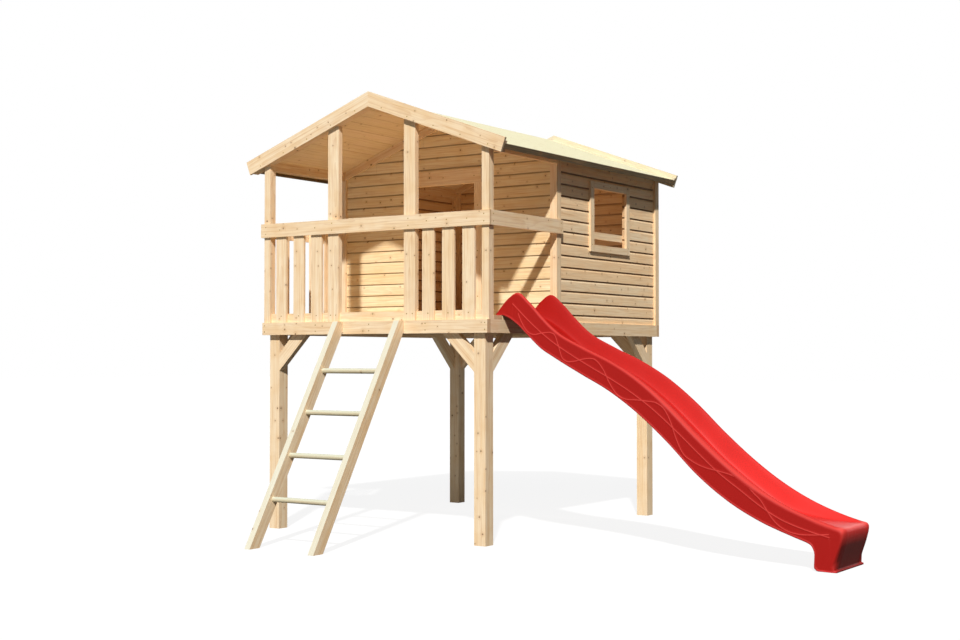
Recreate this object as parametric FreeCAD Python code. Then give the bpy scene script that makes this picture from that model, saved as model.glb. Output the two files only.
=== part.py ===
import FreeCAD, Part
import math
import os

# Stilt playhouse: a timber deck on four braced stilts, with a slatted veranda, a boarded house
# under one gabled roof, a leaning ladder at the front and a moulded slide at the right side.
# Millimetres, Z up. While it is built, x = 0 is the middle of the front, y = 0 the face of the
# front beam and z = 0 the ground. The last lines put the origin under the middle of everything.

V = FreeCAD.Vector

# Deck frame on its stilts
frame_width = 1955.0
frame_depth = 2419.0
beam_top = 1477.0
beam_height = 88.0
beam_thickness = 40.0
joist_count = 3
joist_brace_gap = 5.0
ledger_height = 60.0
ledger_thickness = 38.0
stilt_side = 90.0
brace_width = 90.0
brace_thickness = 45.0
brace_reach = 256.0

# Deck boards
deck_thickness = 28.0
deck_board_width = 96.0
deck_least_gap = 4.0
notch_clearance = 1.0

# Veranda
post_side = 56.0
handrail_setback = 2.0
handrail_thickness = 18.0
handrail_height = 98.0
handrail_above_deck = 685.0
slat_width = 96.0
slat_thickness = 18.0
slat_below_rail_top = 20.0
front_slat_count = 3
front_slat_spacing_share = 0.3034
side_slat_count = 4
side_slat_spacing_share = 0.2103
upright_width = 96.0
upright_thickness = 38.0
ladder_gap = 570.0
bottom_rail_height = 36.0
veranda_depth = 855.0

# House walls of tongue and groove boards
wall_setback = 18.0
board_thickness = 20.0
board_cover = 84.0
first_board_cover = 52.5
board_gap = 7.0
board_bevel = 3.0
butt_joint = 1.0
gable_joint_shares = (0.65, 0.195)
tongue_thickness = 6.0
tongue_length = 8.0
tongue_clearance = 0.4
batten_thickness = 18.0
batten_width = 38.0
door_width = 553.0
door_height = 991.0
door_trim_width = 61.0
door_head_height = 105.0
window_width = 490.0
window_height = 414.0
window_sill_above_deck = 543.0
window_trim_width = 50.0
window_bar_height = 51.0
window_bar_above_sill = 48.0
window_bar_lap = 40.0
window_batten_reach = 110.0

# Roof
roof_pitch = 20.0
eave_overhang = 114.5
eave_above_deck = 1050.0
barge_height = 98.0
barge_thickness = 18.0
barge_front_overhang = 13.5
barge_rear_overhang = 41.5
rafter_depth = 40.0
rafter_thickness = 38.0
roof_board_thickness = 18.0
roof_board_cover = 96.0
roof_board_gap = 1.0
roof_board_bevel = 2.0
fascia_thickness = 18.0
fascia_height = 36.0
verge_batten_width = 20.0
verge_batten_height = 18.0
plate_thickness = 38.0
plate_drop = 12.0
rake_trim_height = 60.0

# Ladder
ladder_reach = 931.0
ladder_top_reach = 55.0
ladder_width = 576.0
ladder_offset = 15.0
stringer_thickness = 45.0
stringer_depth = 82.0
rung_diameter = 35.0
rung_count = 4
rung_pitch = 278.0
first_rung_height = 303.0
rung_seat = 30.0
rung_clearance = 0.2

# Slide
slide_reach = 2309.0
slide_width = 454.0
slide_from_post = 98.0
slide_mouth_lap = 45.0
slide_rail_width = 40.0
slide_wall = 5.0
slide_floor_thickness = 7.0
slide_rim_radius = 10.0
slide_lip_radius = 20.0

# Screws
screw_radius = 2.5
screw_head_radius = 4.5
screw_head_height = 3.0
screw_drive_radius = 2.0
screw_drive_depth = 1.5
screw_bite = 30.0
screw_edge = 25.0
coach_screw_radius = 5.0
coach_head_radius = 9.5
coach_head_height = 7.0
coach_bite = 32.0
washer_radius = 15.0
washer_thickness = 2.5
slide_screw_head_radius = 8.0
slide_screw_head_height = 4.0
hole_clearance = 0.15
overrun = 20.0

# Places that follow from the sizes above
half_width = frame_width / 2
beam_bottom = beam_top - beam_height
deck_top = beam_top + deck_thickness
side_inside = half_width - beam_thickness
rail_back = handrail_setback + handrail_thickness
slat_back = rail_back + slat_thickness
post_back = rail_back + post_side
upright_back = rail_back + upright_thickness
house_front = rail_back + veranda_depth
house_post_back = house_front + post_side
rear_post_front = frame_depth - post_side
post_inside = half_width - post_side
handrail_top = deck_top + handrail_above_deck
bottom_rail_top = deck_top + bottom_rail_height
board_inside = half_width - wall_setback - board_thickness
front_board_face = house_front + wall_setback
front_board_back = front_board_face + board_thickness
rear_board_face = frame_depth - wall_setback
rear_board_back = rear_board_face - board_thickness
ladder_gap_half = ladder_gap / 2
door_half = door_width / 2
door_top = deck_top + door_height
window_middle = (house_post_back + rear_post_front) / 2
window_low = deck_top + window_sill_above_deck
window_high = window_low + window_height
window_bar_low = window_low + window_bar_above_sill

# The roof slope: s runs down it from the ridge, n stands square to it above the barge's lower edge
slope = math.radians(roof_pitch)
eave_half = half_width + eave_overhang
apex = deck_top + eave_above_deck + eave_half * math.tan(slope)
eave_s = eave_half / math.cos(slope)
fascia_s = eave_s - fascia_thickness
roof_top_n = rafter_depth + roof_board_thickness
barge_front_back = barge_thickness - barge_front_overhang
barge_rear_front = frame_depth + barge_rear_overhang - barge_thickness


def on_slope(s, n, y):
    """A point of the right-hand slope, from its distance down it and its height square to it."""
    x = s * math.cos(slope) + n * math.sin(slope)
    return V(x, y, apex - s * math.sin(slope) + n * math.cos(slope))


def slope_s(x, n):
    """How far down the slope the plumb plane at x is met, at height n."""
    return (x - n * math.sin(slope)) / math.cos(slope)


def roof_z(x, n):
    """The height of the roof's plane n, at x from the middle."""
    return apex - abs(x) * math.tan(slope) + n / math.cos(slope)


plate_bottom = roof_z(half_width, 0) - plate_drop


def block(x, y, z):
    """A box from its lowest and highest x, y and z."""
    return Part.makeBox(x[1] - x[0], y[1] - y[0], z[1] - z[0], V(x[0], y[0], z[0]))


def prism(corners, path):
    """A flat outline carried along a path."""
    outline = Part.makePolygon(corners + corners[:1])
    return Part.Face(outline).extrude(path)


def other_side(shapes):
    """The same pieces on the other side of the house."""
    return [shape.mirror(V(0, 0, 0), V(1, 0, 0)) for shape in shapes]


def both_sides(shapes):
    return shapes + other_side(shapes)


def four_corners(shapes):
    """The pieces of the front right corner, and their mirror images at the other three."""
    middle = V(0, frame_depth / 2, 0)
    return both_sides(shapes + [shape.mirror(middle, V(0, 1, 0)) for shape in shapes])


def solids(shape):
    return list(shape.Solids)


# Screws are turned about their own axis. Each leaves its hole in whatever timber it passes.
screw_holes = []


def turned(outline, base, direction):
    """A solid from (radius, depth) points, turned about an axis that starts at base."""
    corners = [V(radius, 0, depth) for radius, depth in outline]
    body = Part.Face(Part.makePolygon(corners + corners[:1])).revolve(V(0, 0, 0), V(0, 0, 1), 360)
    body.Placement = FreeCAD.Placement(base, FreeCAD.Rotation(V(0, 0, 1), direction))
    return body


def countersunk_screw(base, direction, length):
    """A flush screw with a recess in its head. Its hole is a little wider."""
    screw = [
        (0, screw_drive_depth),
        (screw_drive_radius, 0),
        (screw_head_radius, 0),
        (screw_radius, screw_head_height),
        (screw_radius, length - screw_head_height),
        (0, length),
    ]
    wide_head = screw_head_radius + hole_clearance
    wide_shank = screw_radius + hole_clearance
    hole = [
        (0, -overrun),
        (wide_head, -overrun),
        (wide_head, 0),
        (wide_shank, screw_head_height),
        (wide_shank, length + hole_clearance),
        (0, length + hole_clearance),
    ]
    screw_holes.append(turned(hole, base, direction))
    return turned(screw, base, direction)


def shank_hole(base, direction, length, radius):
    wide = radius + hole_clearance
    outline = [(0, 0), (wide, 0), (wide, length + hole_clearance), (0, length + hole_clearance)]
    screw_holes.append(turned(outline, base, direction))


def coach_screw(base, direction, length):
    """A hexagon head that stands on its washer, and a plain shank that passes through it."""
    corners = [
        V(math.cos(math.radians(turn)), math.sin(math.radians(turn)), 0) * coach_head_radius
        for turn in range(0, 360, 60)
    ]
    head = prism(corners, V(0, 0, -coach_head_height))
    head.translate(V(0, 0, -washer_thickness))
    shank = Part.makeCylinder(
        coach_screw_radius, length + washer_thickness, V(0, 0, -washer_thickness)
    )
    screw = head.fuse(shank).removeSplitter()
    screw.Placement = FreeCAD.Placement(base, FreeCAD.Rotation(V(0, 0, 1), direction))
    shank_hole(base, direction, length, coach_screw_radius)
    return screw


def washer(base, direction):
    inner = coach_screw_radius + hole_clearance
    outline = [(inner, 0), (washer_radius, 0), (washer_radius, -washer_thickness),
               (inner, -washer_thickness)]
    return turned(outline, base, direction)


# Deck frame

def stilts():
    across = (side_inside - stilt_side, side_inside)
    along = (beam_thickness, beam_thickness + stilt_side)
    return four_corners([block(across, along, (0, beam_top))])


def cross_beam(y_low):
    return [block((-half_width, half_width), (y_low, y_low + beam_thickness), (beam_bottom, beam_top))]


def side_beams():
    along = (beam_thickness, frame_depth - beam_thickness)
    return both_sides([block((side_inside, half_width), along, (beam_bottom, beam_top))])


# How far a brace reaches along the beam, where its two edges meet the deck boards
brace_foot = beam_bottom - brace_reach
brace_far_edge = beam_top - brace_foot
brace_near_edge = brace_far_edge - brace_width * math.sqrt(2)


def joist_middles():
    """The outermost joists run just inside the braces, and the others evenly between them."""
    outermost = side_inside - stilt_side - brace_far_edge - joist_brace_gap - beam_thickness / 2
    spacing = 2 * outermost / (joist_count - 1)
    return [spacing * i - outermost for i in range(joist_count)]


def joists():
    along = (beam_thickness, frame_depth - beam_thickness)
    half = beam_thickness / 2
    return [block((x - half, x + half), along, (beam_bottom, beam_top)) for x in joist_middles()]


def brace(corner, inward, outer_face):
    """A 45 degree brace behind a beam: from the stilt's side up to the deck boards."""
    low = corner + V(0, 0, brace_foot)
    high = corner + V(0, 0, beam_top)
    corners = [
        low,
        low + V(0, 0, brace_width * math.sqrt(2)),
        high + inward * brace_near_edge,
        high + inward * brace_far_edge,
    ]
    return prism(corners, outer_face * brace_thickness)


def cross_braces():
    """Behind the front and rear beams."""
    return four_corners([brace(V(side_inside - stilt_side, beam_thickness, 0), V(-1, 0, 0), V(0, 1, 0))])


def side_braces():
    """Inside the side beams."""
    return four_corners([brace(V(side_inside, beam_thickness + stilt_side, 0), V(0, 1, 0), V(-1, 0, 0))])


def deck_ledgers():
    """Battens inside the side beams. They carry the board ends inside the house walls."""
    start = beam_thickness + stilt_side + brace_far_edge
    across = (side_inside - ledger_thickness, side_inside)
    return both_sides([block(across, (start, frame_depth - start), (beam_top - ledger_height, beam_top))])


# Deck boards

def strips(low, high):
    """The (low, high) pairs of the boards that fill a depth, with even gaps."""
    room = high - low
    count = int((room + deck_least_gap) // (deck_board_width + deck_least_gap))
    gap = (room - count * deck_board_width) / (count - 1)
    starts = [low + i * (deck_board_width + gap) for i in range(count)]
    return [(start, start + deck_board_width) for start in starts]


veranda_strips = strips(post_back + deck_least_gap, front_board_face - notch_clearance)
house_strips = strips(front_board_back + notch_clearance, rear_board_back - notch_clearance)


def post_notches():
    """The room that the deck boards leave round the house's posts."""
    across = (post_inside - notch_clearance, half_width + overrun)
    front = (house_front - notch_clearance, house_post_back + notch_clearance)
    rear = (rear_post_front - notch_clearance, frame_depth + overrun)
    upward = (beam_top - overrun, deck_top + overrun)
    notches = both_sides([block(across, front, upward), block(across, rear, upward)])
    return Part.makeCompound(notches)


def deck_boards_of(strip_list, left, right):
    notches = post_notches()
    boards = []
    for strip in strip_list:
        boards += solids(block((left, right), strip, (beam_top, deck_top)).cut(notches))
    return boards


def veranda_deck():
    edge = block((-post_inside, post_inside), (slat_back, post_back), (beam_top, deck_top))
    return [edge] + deck_boards_of(veranda_strips, slat_thickness - half_width, half_width)


def house_deck():
    reach = board_inside - notch_clearance
    return deck_boards_of(house_strips, -reach, reach)


def door_threshold():
    return [block((-door_half, door_half), (front_board_face, front_board_back), (beam_top, deck_top))]


# Posts, rails and slats

def roofed_post(x, y, z_low, n):
    """A post whose head follows the roof's plane n."""
    corners = [
        V(x[0], y[0], z_low),
        V(x[1], y[0], z_low),
        V(x[1], y[0], roof_z(x[1], n)),
        V(x[0], y[0], roof_z(x[0], n)),
    ]
    return prism(corners, V(0, y[1] - y[0], 0))


def veranda_posts():
    return both_sides([roofed_post((post_inside, half_width), (rail_back, post_back), beam_top, 0)])


def house_posts():
    across = (post_inside, half_width)
    front = roofed_post(across, (house_front, house_post_back), beam_top, rafter_depth)
    rear = roofed_post(across, (rear_post_front, frame_depth), beam_top, rafter_depth)
    return both_sides([front, rear])


def uprights():
    """Flat posts beside the ladder, notched at the foot to pass in front of the bottom rail."""
    across = (ladder_gap_half, ladder_gap_half + upright_width)
    post = roofed_post(across, (rail_back, upright_back), beam_top, 0)
    wide = (across[0] - overrun, across[1] + overrun)
    notch = block(wide, (slat_back, upright_back + overrun), (beam_top - overrun, bottom_rail_top))
    return both_sides(solids(post.cut(notch)))


def front_bottom_rail():
    return [block((-post_inside, post_inside), (slat_back, post_back), (deck_top, bottom_rail_top))]


def left_bottom_rail():
    across = (-half_width + slat_thickness, -post_inside)
    return [block(across, (post_back, house_front), (deck_top, bottom_rail_top))]


def slat_middles(count, spacing_share, bay_start, bay_end):
    """The middles of the slats of a bay. Their spacing is a share of the bay's width."""
    spacing = spacing_share * (bay_end - bay_start)
    bay_middle = (bay_start + bay_end) / 2
    return [bay_middle + spacing * (i - (count - 1) / 2) for i in range(count)]


slat_top = handrail_top - slat_below_rail_top
front_bay = (ladder_gap_half + upright_width, post_inside)
front_slat_middles = slat_middles(front_slat_count, front_slat_spacing_share, *front_bay)
side_slat_middles = slat_middles(side_slat_count, side_slat_spacing_share, post_back, house_front)


def front_slats():
    half = slat_width / 2
    return both_sides([
        block((x - half, x + half), (rail_back, slat_back), (beam_top, slat_top))
        for x in front_slat_middles
    ])


def left_slats():
    half = slat_width / 2
    across = (-half_width, slat_thickness - half_width)
    return [block(across, (y - half, y + half), (beam_top, slat_top)) for y in side_slat_middles]


handrail_span = (handrail_top - handrail_height, handrail_top)
handrail_half = half_width + handrail_thickness


def front_handrail():
    return [block((-handrail_half, handrail_half), (handrail_setback, rail_back), handrail_span)]


def side_handrails():
    return both_sides([block((half_width, handrail_half), (rail_back, house_post_back), handrail_span)])


# House walls

def board_section(cover, thickness, gap, bevel):
    """Corners (depth, height) of a tongue and groove board, with an open joint on its face."""
    near = (thickness - tongue_thickness) / 2
    far = near + tongue_thickness
    groove = tongue_length + tongue_clearance
    return [
        (0, 0),
        (0, cover - gap - bevel),
        (bevel, cover - gap),
        (near, cover - gap),
        (near, cover + tongue_length),
        (far, cover + tongue_length),
        (far, cover),
        (thickness, cover),
        (thickness, 0),
        (far + tongue_clearance, 0),
        (far + tongue_clearance, groove),
        (near - tongue_clearance, groove),
        (near - tongue_clearance, 0),
    ]


def board_rows(top):
    """The (height, cover) pairs of the rows of boards, from the beam up to a height."""
    rows = [(beam_top, first_board_cover)]
    z = beam_top + first_board_cover
    while z < top:
        rows.append((z, board_cover))
        z += board_cover
    return rows


def boarded_wall(place, path, region, opening, joints=()):
    """Rows of boards trimmed to the wall's region, with an opening and butt joints cut in them."""
    boards = []
    for z, cover in board_rows(region.BoundBox.ZMax):
        section = board_section(cover, board_thickness, board_gap, board_bevel)
        board = prism([place(depth, z + height) for depth, height in section], path)
        board = board.common(region).cut(opening)
        for joint in joints:
            if z < joint.CenterOfMass.z < z + cover:
                board = board.cut(joint)
        boards += solids(board)
    return boards


def gable_region(y_low, y_high):
    """Everything between the house's posts and under the roof boards."""
    corners = [
        V(-post_inside, y_low, beam_top),
        V(post_inside, y_low, beam_top),
        V(post_inside, y_low, roof_z(post_inside, rafter_depth)),
        V(0, y_low, roof_z(0, rafter_depth)),
        V(-post_inside, y_low, roof_z(post_inside, rafter_depth)),
    ]
    return prism(corners, V(0, y_high - y_low, 0))


def doorway():
    return block((-door_half, door_half), (front_board_face - overrun, front_board_back + overrun),
                 (beam_top - overrun, door_top))


def window_opening():
    half = window_width / 2
    return block((board_inside - overrun, half_width + overrun),
                 (window_middle - half, window_middle + half), (window_low, window_high))


def gable_joints():
    """Saw cuts where the uppermost boards left of the doorway are pieced together."""
    joints = []
    for share in gable_joint_shares:
        x = -share * half_width
        middle = roof_z(x, rafter_depth - rake_trim_height) - board_cover / 2
        joints.append(block((x, x + butt_joint), (front_board_face - overrun, front_board_back + overrun),
                            (middle - board_cover, middle + board_cover)))
    return joints


def front_wall():
    region = gable_region(front_board_face - overrun, front_board_back + overrun)
    return boarded_wall(lambda depth, z: V(-post_inside, front_board_face + depth, z),
                        V(2 * post_inside, 0, 0), region, doorway(), gable_joints())


def rear_wall():
    region = gable_region(rear_board_back - overrun, rear_board_face + overrun)
    nothing = Part.makeCompound([])
    return boarded_wall(lambda depth, z: V(-post_inside, rear_board_face - depth, z),
                        V(2 * post_inside, 0, 0), region, nothing)


def right_wall_with(opening):
    region = block((board_inside - overrun, half_width + overrun),
                   (house_post_back, rear_post_front), (beam_top, plate_bottom))
    return boarded_wall(lambda depth, z: V(half_width - wall_setback - depth, house_post_back, z),
                        V(0, rear_post_front - house_post_back, 0), region, opening)


def right_wall():
    return right_wall_with(window_opening())


def left_wall():
    return other_side(right_wall_with(Part.makeCompound([])))


def gable_battens(y):
    """Upright battens behind a gable's boards: beside the posts and beside the doorway."""
    outer = (post_inside - batten_width, post_inside)
    inner = (door_half, door_half + batten_width)
    return both_sides([roofed_post(outer, y, deck_top, 0), roofed_post(inner, y, deck_top, 0)])


def gable_wall_battens():
    front = gable_battens((front_board_back, front_board_back + batten_thickness))
    return front + gable_battens((rear_board_back - batten_thickness, rear_board_back))


def side_wall_battens():
    across = (board_inside - batten_thickness, board_inside)
    upward = (deck_top, plate_bottom)
    front = block(across, (house_post_back, house_post_back + batten_width), upward)
    rear = block(across, (rear_post_front - batten_width, rear_post_front), upward)
    return both_sides([front, rear])


def window_battens():
    """Two upright battens that hold the cut boards together, outside the ends of the bar."""
    across = (board_inside - batten_thickness, board_inside)
    start = window_width / 2 + window_bar_lap
    upward = (window_low - window_batten_reach, min(window_high + window_batten_reach, plate_bottom))
    near = block(across, (window_middle - start - batten_width, window_middle - start), upward)
    far = block(across, (window_middle + start, window_middle + start + batten_width), upward)
    return [near, far]


def window_bar():
    across = (board_inside - batten_thickness, board_inside)
    reach = window_width / 2 + window_bar_lap
    along = (window_middle - reach, window_middle + reach)
    return [block(across, along, (window_bar_low, window_bar_low + window_bar_height))]


window_trim_inner = window_width / 2
window_trim_outer = window_trim_inner + window_trim_width


def window_uprights():
    across = (half_width - wall_setback, half_width)
    full = (window_low - window_trim_width, window_high + window_trim_width)
    return [
        block(across, (window_middle - window_trim_outer, window_middle - window_trim_inner), full),
        block(across, (window_middle + window_trim_inner, window_middle + window_trim_outer), full),
    ]


def window_head_and_sill():
    """Between the uprights, over and under the opening."""
    across = (half_width - wall_setback, half_width)
    between = (window_middle - window_trim_inner, window_middle + window_trim_inner)
    return [
        block(across, between, (window_low - window_trim_width, window_low)),
        block(across, between, (window_high, window_high + window_trim_width)),
    ]


door_trim_outer = door_half + door_trim_width


def door_uprights():
    return both_sides([block((door_half, door_trim_outer), (house_front, front_board_face),
                             (deck_top, door_top))])


def door_head():
    """Across both uprights."""
    return [block((-door_trim_outer, door_trim_outer), (house_front, front_board_face),
                  (door_top, door_top + door_head_height))]


# Roof

def slope_bar(y, n, s_low, s_high):
    """A bar on the right-hand slope, with square ends."""
    corners = [on_slope(s_low, n[0], y[0]), on_slope(s_high, n[0], y[0]),
               on_slope(s_high, n[1], y[0]), on_slope(s_low, n[1], y[0])]
    return prism(corners, V(0, y[1] - y[0], 0))


def ridge_bar(y, n, foot):
    """A bar from the ridge, cut plumb there, down to the foot that is given for a height n."""
    corners = [on_slope(slope_s(0, n[0]), n[0], y[0]), on_slope(foot(n[0]), n[0], y[0]),
               on_slope(foot(n[1]), n[1], y[0]), on_slope(slope_s(0, n[1]), n[1], y[0])]
    return prism(corners, V(0, y[1] - y[0], 0))


def square_foot(s):
    return lambda n: s


def plumb_foot(x):
    return lambda n: slope_s(x, n)


def front_rafters():
    along = (barge_front_back, upright_back)
    return both_sides([ridge_bar(along, (0, rafter_depth), square_foot(fascia_s))])


house_rafter_fronts = [
    front_board_back,
    (front_board_back + rear_board_back - rafter_thickness) / 2,
    rear_board_back - rafter_thickness,
]


def house_rafters():
    """Rafters between the wall plates: behind both gables and half way between them."""
    return both_sides([
        ridge_bar((y, y + rafter_thickness), (0, rafter_depth), plumb_foot(post_inside))
        for y in house_rafter_fronts
    ])


def wall_plates():
    """Bevelled plates under the eaves: flush outside in the veranda, over the boards in the house."""
    veranda = roofed_post((half_width - plate_thickness, half_width), (post_back, house_front),
                          plate_bottom, rafter_depth)
    outer = half_width - wall_setback
    house = roofed_post((outer - plate_thickness, outer), (house_post_back, rear_post_front),
                        plate_bottom, rafter_depth)
    return both_sides([veranda, house])


def roof_boards():
    """Tongue and groove boards along the right-hand slope, ripped at the ridge."""
    ridge_side = block((0, eave_half + overrun), (barge_front_back, barge_rear_front),
                       (beam_top, apex + barge_height))
    section = board_section(roof_board_cover, roof_board_thickness, roof_board_gap, roof_board_bevel)
    path = V(0, barge_rear_front - barge_front_back, 0)
    boards = []
    foot = fascia_s
    while foot > slope_s(0, roof_top_n):
        corners = [on_slope(foot - height, rafter_depth + depth, barge_front_back)
                   for depth, height in section]
        boards += solids(prism(corners, path).common(ridge_side))
        foot -= roof_board_cover
    return boards


def bargeboards(y_low):
    along = (y_low, y_low + barge_thickness)
    return both_sides([ridge_bar(along, (0, barge_height), square_foot(eave_s))])


def eave_fascias():
    """Strips over the roof boards' lower edge, which hang a little below their underside."""
    along = (barge_front_back, barge_rear_front)
    return both_sides([slope_bar(along, (roof_top_n - fascia_height, roof_top_n), fascia_s, eave_s)])


def verge_battens():
    upward = (roof_top_n, roof_top_n + verge_batten_height)
    front = (barge_front_back, barge_front_back + verge_batten_width)
    rear = (barge_rear_front - verge_batten_width, barge_rear_front)
    return both_sides([
        ridge_bar(front, upward, square_foot(eave_s)),
        ridge_bar(rear, upward, square_foot(eave_s)),
    ])


def rake_trims():
    """Boards under the roof on the face of the front gable, between the posts."""
    upward = (rafter_depth - rake_trim_height, rafter_depth)
    return both_sides([ridge_bar((house_front, front_board_face), upward, plumb_foot(post_inside))])


# Ladder

ladder_run = ladder_reach - ladder_top_reach
ladder_lean = math.atan2(beam_top, ladder_run)
stringer_foot = stringer_depth / math.sin(ladder_lean)
ladder_half = ladder_width / 2
rung_heights = [first_rung_height + rung_pitch * i for i in range(rung_count)]


def ladder_y(z):
    """Where the ladder's middle line stands in front of the beam, at a height."""
    return stringer_foot / 2 - ladder_reach + z / math.tan(ladder_lean)


def rungs(radius, reach):
    start = ladder_offset - reach
    return [Part.makeCylinder(radius, 2 * reach, V(start, ladder_y(z), z), V(1, 0, 0))
            for z in rung_heights]


rung_half = ladder_half - stringer_thickness + rung_seat


def ladder_rungs():
    return rungs(rung_diameter / 2, rung_half)


def ladder_stringers():
    """Leaning sides: level feet, and a plumb cut that bears on the face of the front beam."""
    bearing = (ladder_reach - stringer_foot) * math.tan(ladder_lean)
    right = ladder_offset + ladder_half
    corners = [
        V(right, -ladder_reach, 0),
        V(right, stringer_foot - ladder_reach, 0),
        V(right, 0, bearing),
        V(right, 0, beam_top),
        V(right, -ladder_top_reach, beam_top),
    ]
    sockets = Part.makeCompound(rungs(rung_diameter / 2 + rung_clearance, rung_half + rung_clearance))
    right_side = prism(corners, V(-stringer_thickness, 0, 0))
    left_side = right_side.translated(V(stringer_thickness - ladder_width, 0, 0))
    return solids(right_side.cut(sockets)) + solids(left_side.cut(sockets))


# Slide. Shares are (distance out from the deck frame, height): of the slide's reach and of the
# deck's height. The rim is the top of the side walls, and the hem is the lower edge of its skirts.
rim_shares = (
    (0.022, 1.078), (0.048, 1.098), (0.087, 1.056), (0.130, 0.991), (0.173, 0.933),
    (0.260, 0.861), (0.346, 0.801), (0.433, 0.721), (0.520, 0.613), (0.606, 0.492),
    (0.693, 0.382), (0.780, 0.292), (0.866, 0.223), (0.950, 0.181),
)
floor_shares = (
    (0.043, 0.989), (0.087, 0.950), (0.130, 0.902), (0.173, 0.854), (0.260, 0.791),
    (0.346, 0.731), (0.433, 0.643), (0.520, 0.529), (0.606, 0.407), (0.693, 0.304),
    (0.780, 0.219), (0.823, 0.197), (0.866, 0.183), (0.931, 0.171),
)
hem_shares = (
    (0.022, 0.988), (0.048, 0.963), (0.087, 0.910), (0.130, 0.854), (0.173, 0.815),
    (0.260, 0.744), (0.346, 0.676), (0.433, 0.586), (0.520, 0.474), (0.606, 0.348),
    (0.693, 0.249), (0.780, 0.178), (0.866, 0.128), (0.906, 0.108),
)
mouth_rim_share = 1.010
lip_rim_share = 0.168
lip_floor_share = 0.164
end_wall_shares = ((1.0, 0.140), (0.992, 0.097), (0.982, 0.058), (0.974, 0.008))
end_flange_shares = ((0.9805, 0.008), (0.9805, 0.0))
foot_shares = ((0.935, 0.0), (0.928, 0.020), (0.929, 0.072), (0.921, 0.098))

slide_near = post_back + slide_from_post
slide_far = slide_near + slide_width
slide_mouth = half_width - slide_mouth_lap
slide_lip = half_width + slide_reach - slide_lip_radius
lip_rim = V(slide_lip, 0, lip_rim_share * deck_top)
lip_floor = V(slide_lip, 0, lip_floor_share * deck_top)


def slide_point(share):
    return V(half_width + share[0] * slide_reach, 0, share[1] * deck_top)


def smooth(points):
    """A smooth edge through points."""
    curve = Part.BSplineCurve()
    curve.interpolate(points)
    return curve.toShape()


def straight(points):
    return [Part.makeLine(start, end) for start, end in zip(points, points[1:])]


def slide_slab(edges, y_low, y_high):
    """The outline that the edges close, carried across a part of the slide's width."""
    slab = Part.Face(Part.Wire(edges)).extrude(V(0, y_high - y_low, 0))
    return slab.translated(V(0, y_low, 0))


def under(points, y_low, y_high):
    """Everything under a smooth line and inside the end wall, across a part of the width."""
    end_wall = [slide_point(share) - V(slide_wall, 0, 0) for share in end_wall_shares]
    below = V(end_wall[-1].x, 0, -overrun)
    corner = V(points[0].x, 0, -overrun)
    edges = [smooth(points)] + straight([points[-1]] + end_wall + [below, corner, points[0]])
    return slide_slab(edges, y_low, y_high)


def slide_body():
    """The outside of the slide: side walls, skirts and the box that it stands on."""
    mouth = [V(slide_mouth, 0, deck_top * mouth_rim_share)]
    rim = mouth + [slide_point(share) for share in rim_shares] + [lip_rim]
    eighth = V(math.sin(math.radians(45)), 0, math.cos(math.radians(45))) * slide_lip_radius
    lip_middle = lip_rim - V(0, 0, slide_lip_radius)
    lip_end = lip_middle + V(slide_lip_radius, 0, 0)
    end = [lip_end] + [slide_point(share) for share in end_wall_shares + end_flange_shares + foot_shares[:1]]
    foot = [slide_point(share) for share in foot_shares]
    deck_edge = V(half_width, 0, deck_top)
    hem = foot[-1:] + [slide_point(share) for share in reversed(hem_shares)] + [deck_edge]
    edges = [smooth(rim), Part.Arc(lip_rim, lip_middle + eighth, lip_end).toShape()]
    edges += straight(end) + straight(foot) + [smooth(hem)]
    edges += straight([deck_edge, V(slide_mouth, 0, deck_top), mouth[0]])
    return slide_slab(edges, slide_near, slide_far)


def floor_line():
    """The sliding surface, level over the deck and then down the slope."""
    level = deck_top + slide_floor_thickness
    start = [V(half_width, 0, level)]
    return start + [slide_point(share) for share in floor_shares] + [lip_floor]


def chute():
    """The room between the side walls, over the floor."""
    floor = floor_line()
    sky = max(share[1] for share in rim_shares) * deck_top + overrun
    out = half_width + slide_reach + overrun
    lead_in = V(slide_mouth - overrun, 0, floor[0].z)
    tail = V(out, 0, floor[-1].z)
    edges = straight([lead_in, floor[0]]) + [smooth(floor)]
    edges += straight([floor[-1], tail, V(out, 0, sky), V(lead_in.x, 0, sky), lead_in])
    return slide_slab(edges, slide_near + slide_rail_width, slide_far - slide_rail_width)


def rim_edges(body):
    """The long outer edges of the two rims."""
    top = max(share[1] for share in rim_shares) * deck_top
    found = []
    for edge in body.Edges:
        reach = edge.BoundBox
        outside = reach.YMax < slide_near + slide_wall or reach.YMin > slide_far - slide_wall
        if outside and reach.ZMax > top - slide_wall and reach.XLength > slide_reach / 2:
            found.append(edge)
    return found


def slide():
    """One moulded shell, open underneath: skirts, rims, side walls and floor are one skin."""
    body = slide_body().cut(chute())
    body = body.makeFillet(slide_rim_radius, rim_edges(body))
    drop = V(0, 0, slide_floor_thickness)
    floor_hollow = [point - drop for point in floor_line()]
    rim_hollow = [slide_point(share) - drop for share in rim_shares] + [lip_rim - drop]
    near, far = slide_near + slide_wall, slide_far - slide_wall
    rim_inside = slide_rail_width - 2 * slide_wall
    body = body.cut(under(floor_hollow, near, far))
    body = body.cut(under(rim_hollow, near, near + rim_inside))
    body = body.cut(under(rim_hollow, far - rim_inside, far))
    return solids(body)


# Screws

def stilt_fixings():
    """Where the coach screws go in, and which way: through each stilt into both beams."""
    middle = stilt_side / 2
    high = beam_top - beam_height / 4
    low = beam_bottom + beam_height / 4
    to_front = (V(side_inside - middle, beam_thickness + stilt_side, high), V(0, -1, 0))
    to_side = (V(side_inside - stilt_side, beam_thickness + middle, low), V(1, 0, 0))
    return [to_front, to_side]


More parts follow.
